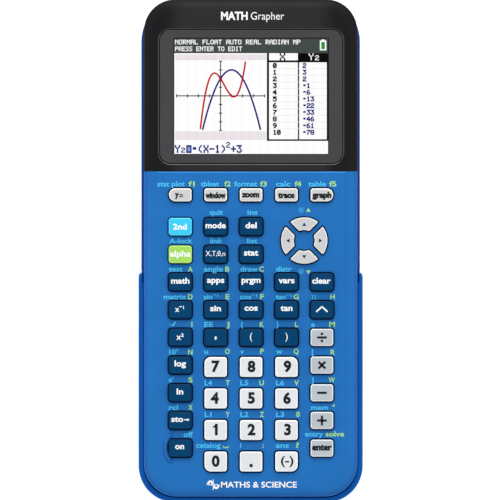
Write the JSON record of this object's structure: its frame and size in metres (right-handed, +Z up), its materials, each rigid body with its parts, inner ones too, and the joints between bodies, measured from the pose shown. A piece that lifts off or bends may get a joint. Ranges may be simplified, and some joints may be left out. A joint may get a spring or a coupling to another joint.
{
  "type": "graphing calculator",
  "caption": "Handheld graphing calculator with a colour display, a full keypad and a cursor ring, lying face up with its slide-on hard cover stored on its back.",
  "frame": {"origin": "centre of the whole part's outline at the underside of the slide cover, where it rests on a desk", "axes": "+X to the user's right, +Y from the keypad towards the display end, +Z up out of the keys"},
  "size_m": [0.0842, 0.1886, 0.0194],
  "materials": {
    "face_plastic": "fine satin texture, mid blue ABS, front moulding",
    "bezel_plastic": "satin black ABS bezel",
    "window_acrylic": "clear polished acrylic with a dark grey printed border",
    "display_metal": "pressed metal display tray with its glass panel",
    "silicone": "translucent grey moulded silicone",
    "circuit_board": "green solder mask on glass-epoxy board",
    "battery_wrap": "foil pouch cell in a printed wrap",
    "rear_plastic": "deeper blue ABS, rear moulding and battery door",
    "cover_plastic": "deeper blue satin ABS slide cover",
    "dark_key_plastic": "dark teal-blue key cap with white legend",
    "white_key_plastic": "off-white key cap with black legend",
    "grey_key_plastic": "light blue-grey key cap with black legend",
    "short_key_plastic": "pale grey key cap with black legend",
    "second_key_plastic": "sky blue key cap with white legend",
    "alpha_key_plastic": "leaf green key cap with white legend"
  },
  "bodies": {
    "calculator": {"front_housing": "face_plastic", "screen_bezel": "bezel_plastic", "display_window": "window_acrylic", "display_module": "display_metal", "keypad_membrane": "silicone", "main_board": "circuit_board", "battery_pack": "battery_wrap", "rear_housing": "rear_plastic", "battery_door": "rear_plastic"},
    "slide_cover": {"slide_cover": "cover_plastic"},
    "key_y_equals": {"key_y_equals": "short_key_plastic"},
    "key_window": {"key_window": "short_key_plastic"},
    "key_zoom": {"key_zoom": "short_key_plastic"},
    "key_trace": {"key_trace": "short_key_plastic"},
    "key_graph": {"key_graph": "short_key_plastic"},
    "key_right": {"key_right": "short_key_plastic"},
    "key_up": {"key_up": "short_key_plastic"},
    "key_left": {"key_left": "short_key_plastic"},
    "key_down": {"key_down": "short_key_plastic"},
    "key_2nd": {"key_2nd": "second_key_plastic"},
    "key_alpha": {"key_alpha": "alpha_key_plastic"},
    "key_mode": {"key_mode": "dark_key_plastic"},
    "key_del": {"key_del": "dark_key_plastic"},
    "key_variable": {"key_variable": "dark_key_plastic"},
    "key_stat": {"key_stat": "dark_key_plastic"},
    "key_math": {"key_math": "dark_key_plastic"},
    "key_apps": {"key_apps": "dark_key_plastic"},
    "key_prgm": {"key_prgm": "dark_key_plastic"},
    "key_vars": {"key_vars": "dark_key_plastic"},
    "key_clear": {"key_clear": "dark_key_plastic"},
    "key_reciprocal": {"key_reciprocal": "dark_key_plastic"},
    "key_sin": {"key_sin": "dark_key_plastic"},
    "key_cos": {"key_cos": "dark_key_plastic"},
    "key_tan": {"key_tan": "dark_key_plastic"},
    "key_power": {"key_power": "dark_key_plastic"},
    "key_square": {"key_square": "dark_key_plastic"},
    "key_comma": {"key_comma": "dark_key_plastic"},
    "key_open_paren": {"key_open_paren": "dark_key_plastic"},
    "key_close_paren": {"key_close_paren": "dark_key_plastic"},
    "key_log": {"key_log": "dark_key_plastic"},
    "key_ln": {"key_ln": "dark_key_plastic"},
    "key_store": {"key_store": "dark_key_plastic"},
    "key_on": {"key_on": "dark_key_plastic"},
    "key_divide": {"key_divide": "grey_key_plastic"},
    "key_multiply": {"key_multiply": "grey_key_plastic"},
    "key_minus": {"key_minus": "grey_key_plastic"},
    "key_plus": {"key_plus": "grey_key_plastic"},
    "key_enter": {"key_enter": "grey_key_plastic"},
    "key_7": {"key_7": "white_key_plastic"},
    "key_8": {"key_8": "white_key_plastic"},
    "key_9": {"key_9": "white_key_plastic"},
    "key_4": {"key_4": "white_key_plastic"},
    "key_5": {"key_5": "white_key_plastic"},
    "key_6": {"key_6": "white_key_plastic"},
    "key_1": {"key_1": "white_key_plastic"},
    "key_2": {"key_2": "white_key_plastic"},
    "key_3": {"key_3": "white_key_plastic"},
    "key_0": {"key_0": "white_key_plastic"},
    "key_decimal_point": {"key_decimal_point": "white_key_plastic"},
    "key_negative": {"key_negative": "white_key_plastic"}
  },
  "joints": [
    {"name": "cover_slide", "type": "slide", "parent": "calculator", "child": "slide_cover", "axis": [0, -1, 0], "range_m": [0, 0.19]},
    {"name": "press_y_equals", "type": "slide", "parent": "calculator", "child": "key_y_equals", "axis": [0, 0, -1], "range_m": [0, 0.001], "stiffness_N_per_m": 1200, "deforming": ["keypad_membrane"]},
    {"name": "press_window", "type": "slide", "parent": "calculator", "child": "key_window", "axis": [0, 0, -1], "range_m": [0, 0.001], "stiffness_N_per_m": 1200, "deforming": ["keypad_membrane"]},
    {"name": "press_zoom", "type": "slide", "parent": "calculator", "child": "key_zoom", "axis": [0, 0, -1], "range_m": [0, 0.001], "stiffness_N_per_m": 1200, "deforming": ["keypad_membrane"]},
    {"name": "press_trace", "type": "slide", "parent": "calculator", "child": "key_trace", "axis": [0, 0, -1], "range_m": [0, 0.001], "stiffness_N_per_m": 1200, "deforming": ["keypad_membrane"]},
    {"name": "press_graph", "type": "slide", "parent": "calculator", "child": "key_graph", "axis": [0, 0, -1], "range_m": [0, 0.001], "stiffness_N_per_m": 1200, "deforming": ["keypad_membrane"]},
    {"name": "press_right", "type": "slide", "parent": "calculator", "child": "key_right", "axis": [0, 0, -1], "range_m": [0, 0.001], "stiffness_N_per_m": 1200, "deforming": ["keypad_membrane"]},
    {"name": "press_up", "type": "slide", "parent": "calculator", "child": "key_up", "axis": [0, 0, -1], "range_m": [0, 0.001], "stiffness_N_per_m": 1200, "deforming": ["keypad_membrane"]},
    {"name": "press_left", "type": "slide", "parent": "calculator", "child": "key_left", "axis": [0, 0, -1], "range_m": [0, 0.001], "stiffness_N_per_m": 1200, "deforming": ["keypad_membrane"]},
    {"name": "press_down", "type": "slide", "parent": "calculator", "child": "key_down", "axis": [0, 0, -1], "range_m": [0, 0.001], "stiffness_N_per_m": 1200, "deforming": ["keypad_membrane"]},
    {"name": "press_2nd", "type": "slide", "parent": "calculator", "child": "key_2nd", "axis": [0, 0, -1], "range_m": [0, 0.001], "stiffness_N_per_m": 1200, "deforming": ["keypad_membrane"]},
    {"name": "press_alpha", "type": "slide", "parent": "calculator", "child": "key_alpha", "axis": [0, 0, -1], "range_m": [0, 0.001], "stiffness_N_per_m": 1200, "deforming": ["keypad_membrane"]},
    {"name": "press_mode", "type": "slide", "parent": "calculator", "child": "key_mode", "axis": [0, 0, -1], "range_m": [0, 0.001], "stiffness_N_per_m": 1200, "deforming": ["keypad_membrane"]},
    {"name": "press_del", "type": "slide", "parent": "calculator", "child": "key_del", "axis": [0, 0, -1], "range_m": [0, 0.001], "stiffness_N_per_m": 1200, "deforming": ["keypad_membrane"]},
    {"name": "press_variable", "type": "slide", "parent": "calculator", "child": "key_variable", "axis": [0, 0, -1], "range_m": [0, 0.001], "stiffness_N_per_m": 1200, "deforming": ["keypad_membrane"]},
    {"name": "press_stat", "type": "slide", "parent": "calculator", "child": "key_stat", "axis": [0, 0, -1], "range_m": [0, 0.001], "stiffness_N_per_m": 1200, "deforming": ["keypad_membrane"]},
    {"name": "press_math", "type": "slide", "parent": "calculator", "child": "key_math", "axis": [0, 0, -1], "range_m": [0, 0.001], "stiffness_N_per_m": 1200, "deforming": ["keypad_membrane"]},
    {"name": "press_apps", "type": "slide", "parent": "calculator", "child": "key_apps", "axis": [0, 0, -1], "range_m": [0, 0.001], "stiffness_N_per_m": 1200, "deforming": ["keypad_membrane"]},
    {"name": "press_prgm", "type": "slide", "parent": "calculator", "child": "key_prgm", "axis": [0, 0, -1], "range_m": [0, 0.001], "stiffness_N_per_m": 1200, "deforming": ["keypad_membrane"]},
    {"name": "press_vars", "type": "slide", "parent": "calculator", "child": "key_vars", "axis": [0, 0, -1], "range_m": [0, 0.001], "stiffness_N_per_m": 1200, "deforming": ["keypad_membrane"]},
    {"name": "press_clear", "type": "slide", "parent": "calculator", "child": "key_clear", "axis": [0, 0, -1], "range_m": [0, 0.001], "stiffness_N_per_m": 1200, "deforming": ["keypad_membrane"]},
    {"name": "press_reciprocal", "type": "slide", "parent": "calculator", "child": "key_reciprocal", "axis": [0, 0, -1], "range_m": [0, 0.001], "stiffness_N_per_m": 1200, "deforming": ["keypad_membrane"]},
    {"name": "press_sin", "type": "slide", "parent": "calculator", "child": "key_sin", "axis": [0, 0, -1], "range_m": [0, 0.001], "stiffness_N_per_m": 1200, "deforming": ["keypad_membrane"]},
    {"name": "press_cos", "type": "slide", "parent": "calculator", "child": "key_cos", "axis": [0, 0, -1], "range_m": [0, 0.001], "stiffness_N_per_m": 1200, "deforming": ["keypad_membrane"]},
    {"name": "press_tan", "type": "slide", "parent": "calculator", "child": "key_tan", "axis": [0, 0, -1], "range_m": [0, 0.001], "stiffness_N_per_m": 1200, "deforming": ["keypad_membrane"]},
    {"name": "press_power", "type": "slide", "parent": "calculator", "child": "key_power", "axis": [0, 0, -1], "range_m": [0, 0.001], "stiffness_N_per_m": 1200, "deforming": ["keypad_membrane"]},
    {"name": "press_square", "type": "slide", "parent": "calculator", "child": "key_square", "axis": [0, 0, -1], "range_m": [0, 0.001], "stiffness_N_per_m": 1200, "deforming": ["keypad_membrane"]},
    {"name": "press_comma", "type": "slide", "parent": "calculator", "child": "key_comma", "axis": [0, 0, -1], "range_m": [0, 0.001], "stiffness_N_per_m": 1200, "deforming": ["keypad_membrane"]},
    {"name": "press_open_paren", "type": "slide", "parent": "calculator", "child": "key_open_paren", "axis": [0, 0, -1], "range_m": [0, 0.001], "stiffness_N_per_m": 1200, "deforming": ["keypad_membrane"]},
    {"name": "press_close_paren", "type": "slide", "parent": "calculator", "child": "key_close_paren", "axis": [0, 0, -1], "range_m": [0, 0.001], "stiffness_N_per_m": 1200, "deforming": ["keypad_membrane"]},
    {"name": "press_log", "type": "slide", "parent": "calculator", "child": "key_log", "axis": [0, 0, -1], "range_m": [0, 0.001], "stiffness_N_per_m": 1200, "deforming": ["keypad_membrane"]},
    {"name": "press_ln", "type": "slide", "parent": "calculator", "child": "key_ln", "axis": [0, 0, -1], "range_m": [0, 0.001], "stiffness_N_per_m": 1200, "deforming": ["keypad_membrane"]},
    {"name": "press_store", "type": "slide", "parent": "calculator", "child": "key_store", "axis": [0, 0, -1], "range_m": [0, 0.001], "stiffness_N_per_m": 1200, "deforming": ["keypad_membrane"]},
    {"name": "press_on", "type": "slide", "parent": "calculator", "child": "key_on", "axis": [0, 0, -1], "range_m": [0, 0.001], "stiffness_N_per_m": 1200, "deforming": ["keypad_membrane"]},
    {"name": "press_divide", "type": "slide", "parent": "calculator", "child": "key_divide", "axis": [0, 0, -1], "range_m": [0, 0.001], "stiffness_N_per_m": 1200, "deforming": ["keypad_membrane"]},
    {"name": "press_multiply", "type": "slide", "parent": "calculator", "child": "key_multiply", "axis": [0, 0, -1], "range_m": [0, 0.001], "stiffness_N_per_m": 1200, "deforming": ["keypad_membrane"]},
    {"name": "press_minus", "type": "slide", "parent": "calculator", "child": "key_minus", "axis": [0, 0, -1], "range_m": [0, 0.001], "stiffness_N_per_m": 1200, "deforming": ["keypad_membrane"]},
    {"name": "press_plus", "type": "slide", "parent": "calculator", "child": "key_plus", "axis": [0, 0, -1], "range_m": [0, 0.001], "stiffness_N_per_m": 1200, "deforming": ["keypad_membrane"]},
    {"name": "press_enter", "type": "slide", "parent": "calculator", "child": "key_enter", "axis": [0, 0, -1], "range_m": [0, 0.001], "stiffness_N_per_m": 1200, "deforming": ["keypad_membrane"]},
    {"name": "press_7", "type": "slide", "parent": "calculator", "child": "key_7", "axis": [0, 0, -1], "range_m": [0, 0.001], "stiffness_N_per_m": 1200, "deforming": ["keypad_membrane"]},
    {"name": "press_8", "type": "slide", "parent": "calculator", "child": "key_8", "axis": [0, 0, -1], "range_m": [0, 0.001], "stiffness_N_per_m": 1200, "deforming": ["keypad_membrane"]},
    {"name": "press_9", "type": "slide", "parent": "calculator", "child": "key_9", "axis": [0, 0, -1], "range_m": [0, 0.001], "stiffness_N_per_m": 1200, "deforming": ["keypad_membrane"]},
    {"name": "press_4", "type": "slide", "parent": "calculator", "child": "key_4", "axis": [0, 0, -1], "range_m": [0, 0.001], "stiffness_N_per_m": 1200, "deforming": ["keypad_membrane"]},
    {"name": "press_5", "type": "slide", "parent": "calculator", "child": "key_5", "axis": [0, 0, -1], "range_m": [0, 0.001], "stiffness_N_per_m": 1200, "deforming": ["keypad_membrane"]},
    {"name": "press_6", "type": "slide", "parent": "calculator", "child": "key_6", "axis": [0, 0, -1], "range_m": [0, 0.001], "stiffness_N_per_m": 1200, "deforming": ["keypad_membrane"]},
    {"name": "press_1", "type": "slide", "parent": "calculator", "child": "key_1", "axis": [0, 0, -1], "range_m": [0, 0.001], "stiffness_N_per_m": 1200, "deforming": ["keypad_membrane"]},
    {"name": "press_2", "type": "slide", "parent": "calculator", "child": "key_2", "axis": [0, 0, -1], "range_m": [0, 0.001], "stiffness_N_per_m": 1200, "deforming": ["keypad_membrane"]},
    {"name": "press_3", "type": "slide", "parent": "calculator", "child": "key_3", "axis": [0, 0, -1], "range_m": [0, 0.001], "stiffness_N_per_m": 1200, "deforming": ["keypad_membrane"]},
    {"name": "press_0", "type": "slide", "parent": "calculator", "child": "key_0", "axis": [0, 0, -1], "range_m": [0, 0.001], "stiffness_N_per_m": 1200, "deforming": ["keypad_membrane"]},
    {"name": "press_decimal_point", "type": "slide", "parent": "calculator", "child": "key_decimal_point", "axis": [0, 0, -1], "range_m": [0, 0.001], "stiffness_N_per_m": 1200, "deforming": ["keypad_membrane"]},
    {"name": "press_negative", "type": "slide", "parent": "calculator", "child": "key_negative", "axis": [0, 0, -1], "range_m": [0, 0.001], "stiffness_N_per_m": 1200, "deforming": ["keypad_membrane"]}
  ]
}
